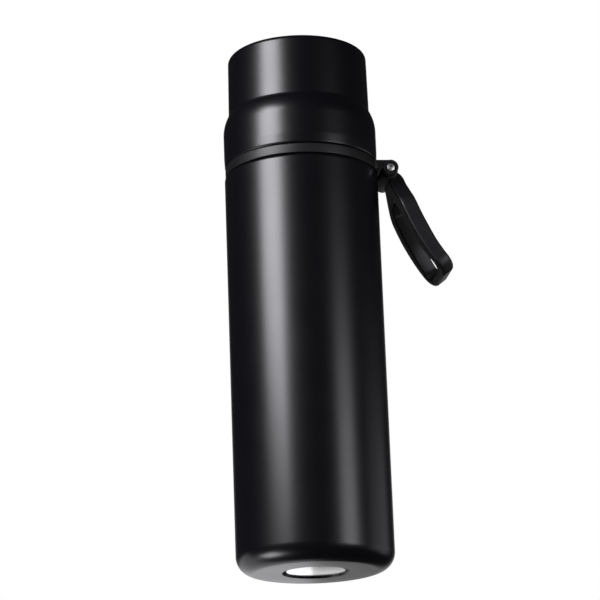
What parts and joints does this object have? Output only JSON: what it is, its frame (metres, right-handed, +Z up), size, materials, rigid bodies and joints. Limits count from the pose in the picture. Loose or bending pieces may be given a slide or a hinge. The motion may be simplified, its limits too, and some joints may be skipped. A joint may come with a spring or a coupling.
{
  "type": "vacuum flask",
  "caption": "Tall vacuum flask with a screw-on cup lid, a push-button pouring stopper and a swivelling carry ring with a swing handle.",
  "frame": {"origin": "centre of the face the flask stands on", "axes": "+Z up along the flask's axis, towards the cup; the lug that carries the handle points to +X"},
  "size_m": [0.1053, 0.072, 0.2477],
  "materials": {
    "black_paint": "satin black coating",
    "steel": "brushed stainless steel",
    "bright_steel": "polished stainless steel",
    "copper_foil": "bright copper foil",
    "getter_metal": "sintered metal",
    "seal_glass": "fused seal glass",
    "black_plastic": "fine matt black plastic",
    "dark_plastic": "matt dark plastic",
    "grey_plastic": "matt grey plastic",
    "silicone": "soft silicone"
  },
  "bodies": {
    "flask": {"base_cap": "black_paint", "outer_shell": "black_paint", "inner_vessel": "steel", "heat_foil": "copper_foil", "getter": "getter_metal", "seal_bead": "seal_glass", "base_disc": "bright_steel", "snap_ring": "steel"},
    "swivel_ring": {"carry_ring": "black_plastic", "pivot_screw": "bright_steel", "pivot_sleeve": "steel"},
    "handle": {"carry_handle": "black_plastic"},
    "stopper_lift": {"neck_gasket": "silicone"},
    "stopper": {"stopper_body": "dark_plastic", "plug_seal": "silicone", "stem_seal": "silicone", "button_spring": "steel"},
    "button": {"push_button": "grey_plastic", "button_seal": "silicone", "valve_stem": "steel", "valve_seal": "silicone", "valve_plate": "dark_plastic", "stem_clip": "steel"},
    "cup_lift": {"cup_gasket": "silicone"},
    "cup": {"cup_shell": "black_paint", "cup_liner": "steel", "cup_thread_ring": "dark_plastic"}
  },
  "joints": [
    {"name": "ring_swivel", "type": "hinge", "parent": "flask", "child": "swivel_ring", "pos_m": [0, 0, 0], "axis": [0, 0, 1], "continuous": true},
    {"name": "handle_swing", "type": "hinge", "parent": "swivel_ring", "child": "handle", "pos_m": [0.0408, 0, 0.1891], "axis": [0, -1, 0], "range_deg": [-25, 150]},
    {"name": "stopper_rise", "type": "slide", "parent": "flask", "child": "stopper_lift", "axis": [0, 0, 1], "range_m": [0, 0.028]},
    {"name": "stopper_turn", "type": "hinge", "parent": "stopper_lift", "child": "stopper", "pos_m": [0, 0, 0.2], "axis": [0, 0, 1], "range_deg": [0, 1260]},
    {"name": "button_press", "type": "slide", "parent": "stopper", "child": "button", "axis": [0, 0, -1], "range_m": [0, 0.004], "stiffness_N_per_m": 900, "springref_m": -0.004, "deforming": ["button_spring"]},
    {"name": "cup_rise", "type": "slide", "parent": "stopper", "child": "cup_lift", "axis": [0, 0, 1], "range_m": [0, 0.03375]},
    {"name": "cup_turn", "type": "hinge", "parent": "cup_lift", "child": "cup", "pos_m": [0, 0, 0.22], "axis": [0, 0, 1], "range_deg": [0, 1350]}
  ],
  "couplings": [
    {"joint": "stopper_turn", "follows": "stopper_rise", "rad_per_m": 785.4},
    {"joint": "cup_turn", "follows": "cup_rise", "rad_per_m": 698.13}
  ]
}
